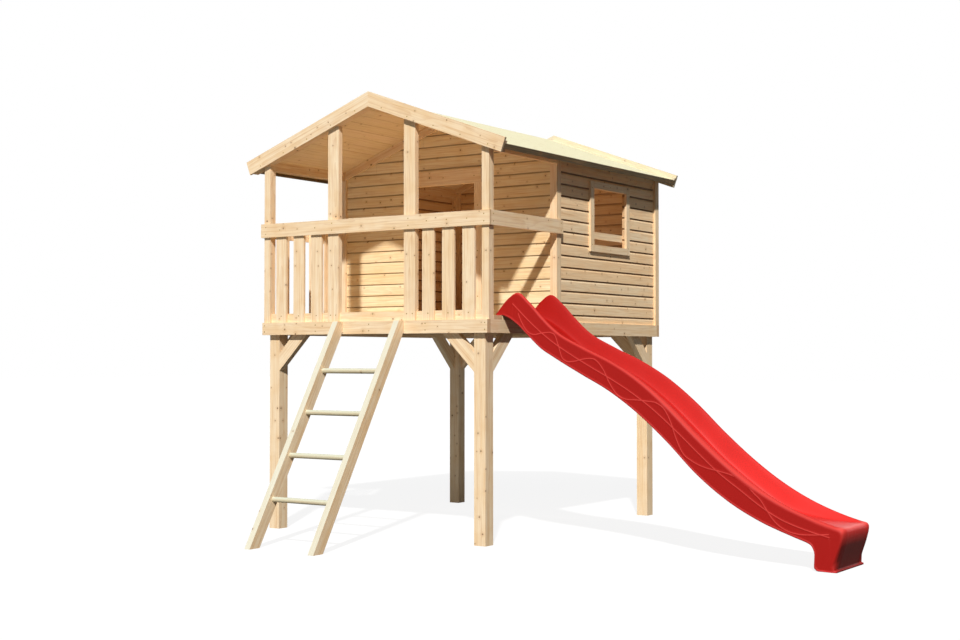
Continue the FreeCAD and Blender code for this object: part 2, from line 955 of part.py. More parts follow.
def mirrored_fixings(fixings):
    """Fixings of the front right corner, and the same ones at the other three corners."""
    result = []
    for base, direction in fixings:
        for x_sign in (1, -1):
            result.append((V(base.x * x_sign, base.y, base.z),
                           V(direction.x * x_sign, direction.y, direction.z)))
            result.append((V(base.x * x_sign, frame_depth - base.y, base.z),
                           V(direction.x * x_sign, -direction.y, direction.z)))
    return result


def screws_at(fixings, length):
    return [countersunk_screw(base, direction, length) for base, direction in fixings]


def coach_screws():
    return [coach_screw(base, direction, stilt_side + coach_bite)
            for base, direction in mirrored_fixings(stilt_fixings())]


def coach_washers():
    return [washer(base, direction) for base, direction in mirrored_fixings(stilt_fixings())]


def brace_screws():
    """Two through the head of each brace into the beam."""
    inset = brace_thickness + beam_thickness
    middle = (brace_near_edge + brace_far_edge) / 2
    step = brace_width / 4
    head = beam_top - beam_height / 2
    stilt_inside = side_inside - stilt_side
    stilt_back = beam_thickness + stilt_side
    fixings = []
    for shift in (-step, step):
        along = middle - beam_height / 2 + shift
        fixings.append((V(stilt_inside - along, inset, head + shift), V(0, -1, 0)))
        fixings.append((V(side_inside - brace_thickness, stilt_back + along, head + shift), V(1, 0, 0)))
    return screws_at(mirrored_fixings(fixings), brace_thickness + screw_bite)


def frame_screws():
    """Through the front and rear beams into the ends of the side beams and the joists."""
    ends = joist_middles() + [half_width - beam_thickness / 2, beam_thickness / 2 - half_width]
    heights = (beam_bottom + beam_height / 4, beam_top - beam_height / 4)
    fixings = []
    for x in ends:
        for z in heights:
            fixings.append((V(x, 0, z), V(0, 1, 0)))
            fixings.append((V(x, frame_depth, z), V(0, -1, 0)))
    return screws_at(fixings, beam_thickness + screw_bite)


def deck_screws():
    """One at each joist and two at each end of a board, into the frame below."""
    down = V(0, 0, -1)
    fixings = []
    for low, high in veranda_strips + house_strips:
        inside = low > front_board_face
        reach = side_inside - ledger_thickness / 2 if inside else half_width - beam_thickness / 2
        clear = low > post_back and (inside or high < house_front)
        ends = (low + screw_edge, high - screw_edge) if clear else ()
        for y in ends:
            fixings += [(V(reach, y, deck_top), down), (V(-reach, y, deck_top), down)]
        fixings += [(V(x, (low + high) / 2, deck_top), down) for x in joist_middles()]
    return screws_at(fixings, deck_thickness + screw_bite)


def handrail_screws():
    """Two into each post and upright, and one into each slat."""
    z_pair = (handrail_top - screw_edge, handrail_top - handrail_height + screw_edge)
    post_x = half_width - post_side / 2
    upright_x = ladder_gap_half + upright_width / 2
    fixings = []
    for z in z_pair:
        fixings += [(V(x, handrail_setback, z), V(0, 1, 0))
                    for x in (-post_x, -upright_x, upright_x, post_x)]
        for y in (rail_back + post_side / 2, house_front + post_side / 2):
            fixings += [(V(handrail_half, y, z), V(-1, 0, 0)), (V(-handrail_half, y, z), V(1, 0, 0))]
    screws = screws_at(fixings, handrail_thickness + screw_bite)
    middle = handrail_top - handrail_height / 2
    slat_fixings = [(V(x * sign, handrail_setback, middle), V(0, 1, 0))
                    for x in front_slat_middles for sign in (1, -1)]
    slat_fixings += [(V(-handrail_half, y, middle), V(1, 0, 0)) for y in side_slat_middles]
    return screws + screws_at(slat_fixings, handrail_thickness + slat_thickness - screw_head_height)


upright_screw_shares = (0.25, 0.75)


def slat_screws():
    """One at the foot of each slat and two in each upright, into the bottom rail."""
    z = (deck_top + bottom_rail_top) / 2
    fixings = [(V(x * sign, rail_back, z), V(0, 1, 0))
               for x in front_slat_middles for sign in (1, -1)]
    for share in upright_screw_shares:
        x = ladder_gap_half + share * upright_width
        fixings += [(V(x * sign, rail_back, z), V(0, 1, 0)) for sign in (1, -1)]
    fixings += [(V(-half_width, y, z), V(1, 0, 0)) for y in side_slat_middles]
    return screws_at(fixings, slat_thickness + screw_bite)


door_screw_shares = (1 / 6, 1 / 2, 5 / 6)
window_screw_shares = (0, 1 / 2, 1)


def trim_screws():
    """Through the door and window trims into the boards behind."""
    fixings = []
    door_x = door_half + door_trim_width / 2
    for share in door_screw_shares:
        z = deck_top + door_height * share
        fixings += [(V(door_x * sign, house_front, z), V(0, 1, 0)) for sign in (1, -1)]
    for x in (-door_half, 0, door_half):
        fixings.append((V(x, house_front, door_top + door_head_height / 2), V(0, 1, 0)))
    window_y = (window_width + window_trim_width) / 2
    for share in window_screw_shares:
        z = window_low + window_height * share
        fixings += [(V(half_width, window_middle + window_y * sign, z), V(-1, 0, 0)) for sign in (1, -1)]
    for z in (window_low - window_trim_width / 2, window_high + window_trim_width / 2):
        fixings.append((V(half_width, window_middle, z), V(-1, 0, 0)))
    return screws_at(fixings, wall_setback + board_thickness - tongue_thickness)


barge_screw_shares = (0.1, 0.3, 0.5, 0.7, 0.9)


def roof_screws():
    """Through the bargeboards into the ends of the roof boards and battens behind them."""
    fixings = []
    n = rafter_depth / 2
    for share in barge_screw_shares:
        point = on_slope(share * eave_s, n, 0)
        for sign in (1, -1):
            fixings.append((V(point.x * sign, -barge_front_overhang, point.z), V(0, 1, 0)))
    return screws_at(fixings, barge_thickness + screw_bite)


def ladder_screws():
    """From behind the front beam into the heads of the two stringers."""
    inner = ladder_half - stringer_thickness / 2
    bearing = (ladder_reach - stringer_foot) * math.tan(ladder_lean)
    z = (bearing + beam_top) / 2
    fixings = [(V(ladder_offset + inner * sign, beam_thickness, z), V(0, -1, 0)) for sign in (1, -1)]
    return screws_at(fixings, beam_thickness + screw_bite)


def slide_screws():
    """Three dome-headed screws through the slide's mouth into the deck."""
    step = math.radians(90) / 4
    head = [
        (slide_screw_head_radius * math.cos(step * i), -slide_screw_head_height * math.sin(step * i))
        for i in range(5)
    ]
    length = slide_floor_thickness + deck_thickness - screw_head_height
    outline = head + [(0, length), (screw_radius, length - screw_radius), (screw_radius, 0)]
    x = half_width - slide_mouth_lap / 2
    spread = (slide_width - 2 * slide_rail_width) / 3
    middle = (slide_near + slide_far) / 2
    screws = []
    for y in (middle - spread, middle, middle + spread):
        base = V(x, y, deck_top + slide_floor_thickness)
        shank_hole(base, V(0, 0, -1), length, screw_radius)
        screws.append(turned(outline, base, V(0, 0, -1)))
    return screws


fasteners = {
    "coach_screws": coach_screws(),
    "coach_screw_washers": coach_washers(),
    "brace_screws": brace_screws(),
    "frame_screws": frame_screws(),
    "deck_screws": deck_screws(),
    "handrail_screws": handrail_screws(),
    "slat_screws": slat_screws(),
    "trim_screws": trim_screws(),
    "bargeboard_screws": roof_screws(),
    "ladder_screws": ladder_screws(),
    "slide_screws": slide_screws(),
}

right_roof = roof_boards()

pieces = {
    "stilt_posts": stilts(),
    "cross_braces": cross_braces(),
    "side_braces": side_braces(),
    "front_beam": cross_beam(0),
    "rear_beam": cross_beam(frame_depth - beam_thickness),
    "side_beams": side_beams(),
    "deck_joists": joists(),
    "deck_ledgers": deck_ledgers(),
    "veranda_deck_boards": veranda_deck(),
    "house_deck_boards": house_deck(),
    "door_threshold": door_threshold(),
    "veranda_corner_posts": veranda_posts(),
    "house_corner_posts": house_posts(),
    "ladder_gap_uprights": uprights(),
    "front_bottom_rail": front_bottom_rail(),
    "left_bottom_rail": left_bottom_rail(),
    "front_slats": front_slats(),
    "left_slats": left_slats(),
    "front_handrail": front_handrail(),
    "side_handrails": side_handrails(),
    "front_wall_boards": front_wall(),
    "rear_wall_boards": rear_wall(),
    "right_wall_boards": right_wall(),
    "left_wall_boards": left_wall(),
    "gable_wall_battens": gable_wall_battens(),
    "side_wall_battens": side_wall_battens(),
    "window_battens": window_battens(),
    "window_bar": window_bar(),
    "window_uprights": window_uprights(),
    "window_head_and_sill": window_head_and_sill(),
    "door_uprights": door_uprights(),
    "door_head": door_head(),
    "front_rafters": front_rafters(),
    "house_rafters": house_rafters(),
    "wall_plates": wall_plates(),
    "right_roof_boards": right_roof,
    "left_roof_boards": other_side(right_roof),
    "front_bargeboards": bargeboards(-barge_front_overhang),
    "rear_bargeboards": bargeboards(barge_rear_front),
    "eave_fascias": eave_fascias(),
    "verge_battens": verge_battens(),
    "gable_rake_trims": rake_trims(),
    "ladder_stringers": ladder_stringers(),
    "ladder_rungs": ladder_rungs(),
    "slide": slide(),
}


def drilled(piece):
    """A piece less the holes of the screws that pass through it."""
    reached = [hole for hole in screw_holes if hole.BoundBox.intersect(piece.BoundBox)]
    if not reached:
        return [piece]
    return solids(piece.cut(Part.makeCompound(reached)))


# The origin lies on the ground, under the middle of the box that holds the whole playhouse
left_end = -(eave_half + barge_height * math.sin(slope))
right_end = half_width + slide_reach
front_end = -ladder_reach
rear_end = frame_depth + barge_rear_overhang
to_origin = V(-(left_end + right_end) / 2, -(front_end + rear_end) / 2, 0)

os.makedirs("parts", exist_ok=True)

for name, timbers in pieces.items():
    finished = [part for timber in timbers for part in drilled(timber)]
    Part.makeCompound(finished).translated(to_origin).exportStep("parts/" + name + ".step")

for name, screws in fasteners.items():
    Part.makeCompound(screws).translated(to_origin).exportStep("parts/" + name + ".step")
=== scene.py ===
"""A stilt playhouse of planed spruce with a red moulded slide, dressed for the render.

The timber keeps the shapes of the CAD nodes and gets its grain here. The slide is a new surface.
The sections follow the playhouse as it is put together, from the stilts up to the roof.
"""
import math

import bpy
import numpy as np
from mathutils import Euler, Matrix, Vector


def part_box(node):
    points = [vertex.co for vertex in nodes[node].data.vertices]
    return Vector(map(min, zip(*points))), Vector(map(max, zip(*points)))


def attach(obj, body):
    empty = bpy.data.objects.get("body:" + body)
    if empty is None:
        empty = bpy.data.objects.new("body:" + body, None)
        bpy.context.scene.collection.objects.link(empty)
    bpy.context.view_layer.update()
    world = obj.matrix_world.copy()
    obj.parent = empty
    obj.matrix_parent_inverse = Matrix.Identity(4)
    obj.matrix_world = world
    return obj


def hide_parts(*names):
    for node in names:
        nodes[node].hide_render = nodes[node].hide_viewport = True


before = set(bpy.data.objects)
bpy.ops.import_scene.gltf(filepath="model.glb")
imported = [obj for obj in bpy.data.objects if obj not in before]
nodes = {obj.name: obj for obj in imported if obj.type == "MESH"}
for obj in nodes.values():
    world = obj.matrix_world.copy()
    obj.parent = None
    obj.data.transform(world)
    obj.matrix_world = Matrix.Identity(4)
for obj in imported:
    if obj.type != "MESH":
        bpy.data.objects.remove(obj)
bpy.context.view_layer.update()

# The middle of the house, the face of its front beam and its rear in the row frame.
# The house is the same on both sides of house_x, and its frame on both sides of house_y.
house_x = -1.0805
front_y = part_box("front_beam")[0].y
rear_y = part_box("rear_beam")[1].y
house_y = (front_y + rear_y) / 2


# Camera, at the eye height of a standing child, to the right in front of the playhouse.
camera_data = bpy.data.cameras.new("photo_camera")
camera_data.sensor_width = 36
camera_data.lens = 55.32
camera = bpy.data.objects.new("photo_camera", camera_data)
camera.location = (5.2180, -8.7030, 1.2338)
camera.rotation_euler = (math.radians(91.4206), 0, math.radians(34.1127))
bpy.context.scene.collection.objects.link(camera)
bpy.context.scene.camera = camera
bpy.context.scene.view_settings.view_transform = "Standard"


# Light: a hard lamp high on the right in front, as the shadows in the photograph fall to the left
# and back, a wide soft one low on the left in front, three weak ones for the light that boards and
# ground throw back, and a dim surround that looks white.
def add(tree, kind, links=None, **settings):
    """Adds a node, with its settings, and with links or values for its sockets."""
    node = tree.nodes.new(kind)
    for name, value in settings.items():
        setattr(node, name, value)
    for socket, value in (links or {}).items():
        if isinstance(value, bpy.types.NodeSocket):
            tree.links.new(value, node.inputs[socket])
        else:
            node.inputs[socket].default_value = value
    return node


def linear(hex_colour):
    """The linear RGBA of an sRGB hex colour: the sRGB curve undone channel by channel."""
    srgb = np.array([int(hex_colour[i:i + 2], 16) for i in (1, 3, 5)]) / 255
    channels = np.where(srgb <= 0.04045, srgb / 12.92, ((srgb + 0.055) / 1.055) ** 2.4)
    return (*channels.tolist(), 1.0)


lamp_data = bpy.data.lights.new("studio_lamp", "SUN")
lamp_data.energy = 4.0
lamp_data.angle = math.radians(2.0)
lamp_data.color = (1.0, 0.985, 0.96)
lamp = bpy.data.objects.new("studio_lamp", lamp_data)
lamp.rotation_euler = (math.radians(51.0), 0, math.radians(30.8))
bpy.context.scene.collection.objects.link(lamp)


def soft_lamp(name, power, colour, size, place, turn, spread=180):
    """A flat lamp of a width and a height that shines along its own -Z, unseen by the camera."""
    data = bpy.data.lights.new(name, "AREA")
    data.energy, data.color, data.shape = power, colour, "RECTANGLE"
    data.size, data.size_y = size
    data.spread = math.radians(spread)
    lamp = bpy.data.objects.new(name, data)
    lamp.location, lamp.rotation_euler = place, [math.radians(angle) for angle in turn]
    lamp.visible_camera = lamp.visible_glossy = False
    bpy.context.scene.collection.objects.link(lamp)


# The soft lamp in front, and the three that shine up: from the deck of the veranda to its ceiling,
# from the floor of the house, both warm as the boards are, and from the ground to the rear stilts
soft_lamp("front_soft_lamp", 70, (1.0, 0.98, 0.95), (5.0, 2.5), (-4.0, -9.0, 1.6), (90, 0, -18))
soft_lamp("veranda_bounce", 1.6, (1.0, 0.62, 0.33), (1.6, 0.55), (house_x, -0.32, 1.53), (180, 0, 0), 100)
soft_lamp("house_bounce", 2.2, (1.0, 0.66, 0.40), (1.5, 1.2), (house_x, 0.9, 1.53), (180, 0, 0), 120)
soft_lamp("ground_bounce", 5.0, (1.0, 0.96, 0.88), (1.6, 0.9), (house_x, 0.9, 0.05), (150, 0, 0))

surround = bpy.data.worlds.new("studio_surround")
bpy.context.scene.world = surround
surround.use_nodes = True
tree = surround.node_tree
tree.nodes.clear()
path = add(tree, "ShaderNodeLightPath")
seen = add(tree, "ShaderNodeMath", {0: path.outputs["Is Camera Ray"], 1: path.outputs["Is Glossy Ray"]},
           operation="MAXIMUM")
seen = add(tree, "ShaderNodeMath", {0: seen.outputs[0], 1: path.outputs["Is Transmission Ray"]},
           operation="MAXIMUM")
fill = add(tree, "ShaderNodeBackground", {"Color": (0.97, 0.98, 1.0, 1), "Strength": 0.08})
white = add(tree, "ShaderNodeBackground", {"Color": (1, 1, 1, 1), "Strength": 1.0})
mixed = add(tree, "ShaderNodeMixShader", {0: seen.outputs[0], 1: fill.outputs[0], 2: white.outputs[0]})
add(tree, "ShaderNodeOutputWorld", {"Surface": mixed.outputs[0]})


# The studio floor, a wide pale sheet. It takes the playhouse's shadow near the stilts and fades
# into the white surround further out, so no horizon shows.
floor_reach = 60.0
floor_mesh = bpy.data.meshes.new("studio_floor")
floor_corners = [(x * floor_reach, y * floor_reach, 0) for x, y in ((-1, -1), (1, -1), (1, 1), (-1, 1))]
floor_mesh.from_pydata(floor_corners, [], [(0, 1, 2, 3)])
floor = bpy.data.objects.new("studio_floor", floor_mesh)
bpy.context.scene.collection.objects.link(floor)
pale_paint = bpy.data.materials.new("pale_floor_paint")
pale_paint.use_nodes = True
tree = pale_paint.node_tree
tree.nodes.clear()
place = add(tree, "ShaderNodeTexCoord").outputs["Object"]
distance = add(tree, "ShaderNodeVectorMath", {0: place}, operation="LENGTH").outputs["Value"]
far = add(tree, "ShaderNodeMapRange", {"Value": distance, "From Min": 3.5, "From Max": 14.0},
          interpolation_type="SMOOTHSTEP")
path = add(tree, "ShaderNodeLightPath")
paint = add(tree, "ShaderNodeBsdfDiffuse", {"Color": linear("#6A6966")})
bright = add(tree, "ShaderNodeBsdfDiffuse", {"Color": (1, 1, 1, 1)})
glow = add(tree, "ShaderNodeEmission", {"Color": (1, 1, 1, 1), "Strength": 1.06})
share = add(tree, "ShaderNodeMapRange", {"Value": far.outputs[0], "To Min": 0.84, "To Max": 1.0})
seen_floor = add(tree, "ShaderNodeMixShader",
                 {0: share.outputs[0], 1: bright.outputs[0], 2: glow.outputs[0]})
both = add(tree, "ShaderNodeMixShader",
           {0: path.outputs["Is Camera Ray"], 1: paint.outputs[0], 2: seen_floor.outputs[0]})
add(tree, "ShaderNodeOutputMaterial", {"Surface": both.outputs[0]})
floor_mesh.materials.append(pale_paint)


# Stilts: four square posts of planed spruce, bolted inside the corners of the deck frame.
# The timber is bare and smooth: pale yellow, with orange late wood, and small brown pin knots.
# In m: a cell that holds any board whole, the distances between knots and between growth rings,
# and the width of the bevel under a joint.
whole = 9
knot_distance = 0.12
ring_distance = 0.011
bevel_width = 0.009


def planed_spruce(node, turn, cell=(whole, whole, whole), shift=(0, 0, 0), fold=None,
                  pale="#FBE7C7", warm="#E9C28C", late=0.2, tone=0.35, knots=0.6, pale_top=None,
                  joint=None, end_grain="#A87A48"):
    """Gives a CAD node spruce whose grain follows its boards. The angles of turn bring a board's
    length to X, its width to Y and its thickness to Z. There the boards are told apart by cells of a
    size, from the node's lowest corner and a shift. Mirrored pieces are folded on to one another.
    Late, tone and knots are the strength of the rings and of the boards' own colours, and the share
    of knots that show. A joint is a dark line of a width, at a distance below the upper edge of each
    cell and of a strength, and the height of the bevel under it."""
    local = np.empty(len(nodes[node].data.vertices) * 3, np.float32)
    nodes[node].data.vertices.foreach_get("co", local)
    local = local.reshape(-1, 3) - np.array(fold or (0, 0, 0))
    local = np.abs(local) if fold else local
    angles = [math.radians(angle) for angle in turn]
    start = (local @ np.array(Euler(angles).to_matrix()).T).min(0) + np.array(shift)

    material = bpy.data.materials.new("planed_spruce_" + node)
    material.use_nodes = True
    tree = material.node_tree
    shader = tree.nodes["Principled BSDF"]
    coordinates = add(tree, "ShaderNodeTexCoord")
    place = coordinates.outputs["Object"]
    normal = coordinates.outputs["Normal"]
    side = (0, 0, 0)
    if fold:
        moved = add(tree, "ShaderNodeVectorMath", {0: place, 1: fold}, operation="SUBTRACT").outputs[0]
        side = add(tree, "ShaderNodeVectorMath", {0: moved}, operation="SIGN").outputs[0]
        place = add(tree, "ShaderNodeVectorMath", {0: moved}, operation="ABSOLUTE").outputs[0]
        normal = add(tree, "ShaderNodeVectorMath", {0: normal, 1: side}, operation="MULTIPLY").outputs[0]
    turned = add(tree, "ShaderNodeMapping", {"Vector": place, "Rotation": angles}).outputs[0]
    facing = add(tree, "ShaderNodeMapping", {"Vector": normal, "Rotation": angles}).outputs[0]

    # Each board: its number, a random colour from that, and its own stretch of the tree
    shifted = add(tree, "ShaderNodeVectorMath", {0: turned, 1: start.tolist()}, operation="SUBTRACT")
    counted = add(tree, "ShaderNodeVectorMath", {0: shifted.outputs[0], 1: cell}, operation="DIVIDE")
    number = add(tree, "ShaderNodeVectorMath", {0: counted.outputs[0]}, operation="FLOOR")
    number = add(tree, "ShaderNodeVectorMath", {0: side, 1: (17, 29, 43), 2: number.outputs[0]},
                 operation="MULTIPLY_ADD")
    within = add(tree, "ShaderNodeVectorMath", {0: counted.outputs[0]}, operation="FRACTION")
    within = add(tree, "ShaderNodeVectorMath", {0: within.outputs[0], 1: cell}, operation="MULTIPLY")
    chance = add(tree, "ShaderNodeTexWhiteNoise", {"Vector": number.outputs[0]}, noise_dimensions="3D")
    stretch = add(tree, "ShaderNodeVectorMath", {0: chance.outputs["Color"], 1: (40, 0.1, 0.03)},
                  operation="MULTIPLY")
    wood = add(tree, "ShaderNodeVectorMath", {0: within.outputs[0], 1: stretch.outputs[0]}, operation="ADD")
    axes = add(tree, "ShaderNodeSeparateXYZ", {0: wood.outputs[0]})

    # Pin knots 6 to 13 mm across, some 120 mm apart, on all four sides of a board, dark or pale
    girth = add(tree, "ShaderNodeMath", {0: axes.outputs[1], 1: axes.outputs[2]}, operation="ADD")
    spread = add(tree, "ShaderNodeCombineXYZ", {0: axes.outputs[0], 1: girth.outputs[0]})
    knot = add(tree, "ShaderNodeTexVoronoi", {"Vector": spread.outputs[0], "Scale": 1 / knot_distance},
               voronoi_dimensions="2D")
    lucky = add(tree, "ShaderNodeSeparateColor", {0: knot.outputs["Color"]})
    kept = add(tree, "ShaderNodeMath", {0: lucky.outputs[0], 1: 1 - knots}, operation="GREATER_THAN")
    size = add(tree, "ShaderNodeMapRange", {0: lucky.outputs[1], "To Min": 0.025, "To Max": 0.056})
    dark = add(tree, "ShaderNodeMapRange", {0: lucky.outputs[2], "To Min": 0.5, "To Max": 1.0})
    near = add(tree, "ShaderNodeMath", {0: knot.outputs["Distance"], 1: size.outputs[0]},
               operation="DIVIDE")
    heart = add(tree, "ShaderNodeMapRange", {0: near.outputs[0], 1: 0.7, 2: 1.3, 3: 0.85, 4: 0.0})
    heart = add(tree, "ShaderNodeMath", {0: heart.outputs[0], 1: kept.outputs[0]}, operation="MULTIPLY")
    heart = add(tree, "ShaderNodeMath", {0: heart.outputs[0], 1: dark.outputs[0]}, operation="MULTIPLY")
    halo = add(tree, "ShaderNodeMapRange", {0: near.outputs[0], 1: 0.5, 2: 5.0, 3: 1.0, 4: 0.0},
               interpolation_type="SMOOTHSTEP")
    halo = add(tree, "ShaderNodeMath", {0: halo.outputs[0], 1: kept.outputs[0]}, operation="MULTIPLY")

    # Growth rings round a pith outside the board, drawn 11 mm apart so that they show. They open
    # into flames where the board is cut flat, and flow round the knots
    slow = add(tree, "ShaderNodeVectorMath", {0: wood.outputs[0], 1: (1.1, 7, 7)}, operation="MULTIPLY")
    sway = add(tree, "ShaderNodeTexNoise", {0: slow.outputs[0], "Scale": 1.0, "Detail": 3.0})
    from_pith = add(tree, "ShaderNodeVectorMath", {0: wood.outputs[0], 1: (0, -0.1, 0.04)}, operation="ADD")
    from_pith = add(tree, "ShaderNodeVectorMath", {0: from_pith.outputs[0], 1: (0, 1, 1)},
                    operation="MULTIPLY")
    radius = add(tree, "ShaderNodeVectorMath", {0: from_pith.outputs[0]}, operation="LENGTH")
    rings = add(tree, "ShaderNodeMath", {0: sway.outputs[0], 1: 0.07, 2: radius.outputs["Value"]},
                operation="MULTIPLY_ADD")
    rings = add(tree, "ShaderNodeMath", {0: halo.outputs[0], 1: ring_distance, 2: rings.outputs[0]},
                operation="MULTIPLY_ADD")
    rings = add(tree, "ShaderNodeMath", {0: axes.outputs[0], 1: 0.006, 2: rings.outputs[0]},
                operation="MULTIPLY_ADD")
    rings = add(tree, "ShaderNodeMath", {0: rings.outputs[0], 1: ring_distance}, operation="DIVIDE")
    rings = add(tree, "ShaderNodeMath", {0: rings.outputs[0]}, operation="FRACT")
    late_wood = add(tree, "ShaderNodeMath", {0: rings.outputs[0], 1: 3.0}, operation="POWER")

    # Streaks 10 to 30 mm wide and up to a metre long, and the fine fibres that the bump takes
    long = add(tree, "ShaderNodeVectorMath", {0: wood.outputs[0], 1: (2.2, 42, 42)}, operation="MULTIPLY")
    streaks = add(tree, "ShaderNodeTexNoise", {0: long.outputs[0], "Scale": 1.0, "Detail": 4.0})
    thin = add(tree, "ShaderNodeVectorMath", {0: wood.outputs[0], 1: (3.5, 130, 130)}, operation="MULTIPLY")
    lines = add(tree, "ShaderNodeTexNoise", {0: thin.outputs[0], "Scale": 1.0, "Detail": 2.0})
    patches = add(tree, "ShaderNodeTexNoise", {0: wood.outputs[0], "Scale": 9.0, "Detail": 3.0})
    fine = add(tree, "ShaderNodeVectorMath", {0: wood.outputs[0], 1: (9, 320, 320)}, operation="MULTIPLY")
    fibres = add(tree, "ShaderNodeTexNoise", {0: fine.outputs[0], "Scale": 1.0, "Detail": 3.0})

    # Colour: the board's own tone, streaks, late wood, painted light on upward faces, end grain, the knots,
    # the joint
    end = add(tree, "ShaderNodeSeparateXYZ", {0: facing})
    end = add(tree, "ShaderNodeMath", {0: end.outputs[0]}, operation="ABSOLUTE")
    up = add(tree, "ShaderNodeSeparateXYZ", {0: coordinates.outputs["Normal"]})
    toned = add(tree, "ShaderNodeMath", {0: chance.outputs["Value"], 1: tone}, operation="MULTIPLY")
    streaked = add(tree, "ShaderNodeMapRange", {0: streaks.outputs[0], 1: 0.42, 2: 0.75, 3: 0.0, 4: 0.6})
    lined = add(tree, "ShaderNodeMapRange", {0: lines.outputs[0], 1: 0.5, 2: 0.72, 3: 0.0, 4: 0.35})
    patched = add(tree, "ShaderNodeMapRange", {0: patches.outputs[0], 1: 0.45, 2: 0.8, 3: 0.0, 4: 0.45})
    ringed = add(tree, "ShaderNodeMath", {0: late_wood.outputs[0], 1: late}, operation="MULTIPLY")
    # Upward faces take the pale_top colour: painted light, paler where the light falls from above
    painted_top_light = add(tree, "ShaderNodeMapRange", {0: up.outputs[2], 1: 0.2, 2: 0.6, 3: 0.0, 4: 0.8})
    cut = add(tree, "ShaderNodeMapRange", {0: end.outputs[0], 1: 0.6, 2: 0.9, 3: 0.0, 4: 0.5})
    shaded = add(tree, "ShaderNodeMath", {0: halo.outputs[0], 1: 0.25}, operation="MULTIPLY")
    coats = [(toned, warm), (patched, warm), (streaked, warm), (lined, "#C8945A"), (ringed, "#B97B3F"),
             (painted_top_light, pale_top), (cut, end_grain), (shaded, "#C08A4E"), (heart, "#5E3818")]
    if joint:
        width, below, strength, bevel = joint
        across = add(tree, "ShaderNodeSeparateXYZ", {0: within.outputs[0]}).outputs[1]
        above = add(tree, "ShaderNodeMath", {0: across, 1: cell[1] - below}, operation="SUBTRACT")
        above = add(tree, "ShaderNodeMath", {0: above.outputs[0], 1: cell[1] / 2, 2: -cell[1] / 2},
                    operation="WRAP")
        away = add(tree, "ShaderNodeMath", {0: above.outputs[0]}, operation="ABSOLUTE")
        line = add(tree, "ShaderNodeMapRange",
                   {0: away.outputs[0], 1: width / 2 - 0.001, 2: width / 2 + 0.001, 3: strength, 4: 0.0})
        coats.append((line, "#784A20"))
        lower = add(tree, "ShaderNodeMapRange",
                    {0: above.outputs[0], 1: -width / 2 - bevel_width, 2: -width / 2, 3: 1.0, 4: 0.0})
        upper = add(tree, "ShaderNodeMapRange", {0: above.outputs[0], 1: 0.0, 2: width / 2})
        board_face = add(tree, "ShaderNodeMath", {0: lower.outputs[0], 1: upper.outputs[0]},
                         operation="MAXIMUM")
    colour = linear(pale)
    for amount, coat in coats:
        if coat:
            colour = add(tree, "ShaderNodeMix", {0: amount.outputs[0], 6: colour, 7: linear(coat)},
                         data_type="RGBA").outputs[2]
    tree.links.new(colour, shader.inputs["Base Color"])

    # Planed by machine: dull, and a little smoother on the hard late wood
    rough = add(tree, "ShaderNodeMapRange", {0: late_wood.outputs[0], 3: 0.62, 4: 0.50})
    tree.links.new(rough.outputs[0], shader.inputs["Roughness"])
    relief = add(tree, "ShaderNodeMath", {0: fibres.outputs[0], 1: 0.6, 2: late_wood.outputs[0]},
                 operation="MULTIPLY_ADD")
    bump = add(tree, "ShaderNodeBump", {"Height": relief.outputs[0], "Strength": 0.25, "Distance": 0.0006})
    if joint:
        bump = add(tree, "ShaderNodeBump", {"Height": board_face.outputs[0], "Distance": bevel,
                                            "Normal": bump.outputs[0]})
    tree.links.new(bump.outputs[0], shader.inputs["Normal"])
    shader.inputs["Specular IOR Level"].default_value = 0.3
    nodes[node].data.materials.clear()
    nodes[node].data.materials.append(material)


# How each kind of board lies, with its length, width and thickness brought to X, Y and Z. Then the
# places to fold at: pieces on four sides, or on two, with nothing as far forward as the second value.
upright_square = (0, 90, 0)
upright_facing_front = (90, 0, 90)
level_across = (-90, 0, 0)
level_along = (-90, -90, 0)
four_ways = (house_x, house_y, 0)
two_ways = (house_x, -whole, 0)

planed_spruce("stilt_posts", upright_square, fold=four_ways, knots=0.85)


# Deck frame: two beams across, two along between them, and joists and ledgers that hide inside.
# Planed spruce, 40 by 88 mm, screwed together at the corners.
planed_spruce("front_beam", level_across, knots=0.7)
planed_spruce("rear_beam", level_across, knots=0.7)
planed_spruce("side_beams", level_along, fold=two_ways)
planed_spruce("deck_joists", level_along, cell=(whole, whole, 0.4))
planed_spruce("deck_ledgers", level_along, fold=two_ways)


# Braces: two from each stilt to the frame, at 45 degrees, cut to lie flat on stilt and deck.
planed_spruce("cross_braces", (-90, 0, -135), fold=four_ways)
planed_spruce("side_braces", (-45, 90, 0), fold=four_ways)


# Deck: planed boards across the frame, some with notches round the posts, with gaps for the rain.
planed_spruce("veranda_deck_boards", (0, 0, 0), cell=(whole, 0.10229, whole), shift=(0, 0.039, 0))
planed_spruce("house_deck_boards", (0, 0, 0), cell=(whole, 0.10538, whole), shift=(0, -0.0047, 0))
planed_spruce("door_threshold", (0, 0, 0))


# Posts: square ones at the corners of the veranda and the house, flat ones beside the ladder.
# They stand on the frame and carry the roof.
planed_spruce("veranda_corner_posts", upright_square, fold=two_ways, knots=0.7)
planed_spruce("house_corner_posts", upright_square, cell=(whole, 0.8, whole), fold=two_ways)
planed_spruce("ladder_gap_uprights", upright_facing_front, fold=two_ways, knots=0.7)


# Railing: upright slats between a low rail and a flat handrail that runs round the veranda.
planed_spruce("front_bottom_rail", level_across)
planed_spruce("left_bottom_rail", level_along)
planed_spruce("front_slats", upright_facing_front, cell=(whole, 0.164, whole), shift=(0, -0.034, 0),
              fold=two_ways)
planed_spruce("left_slats", upright_square, cell=(whole, 0.168, whole), shift=(0, -0.036, 0))
planed_spruce("front_handrail", level_across, knots=0.6)
planed_spruce("side_handrails", level_along, fold=two_ways)


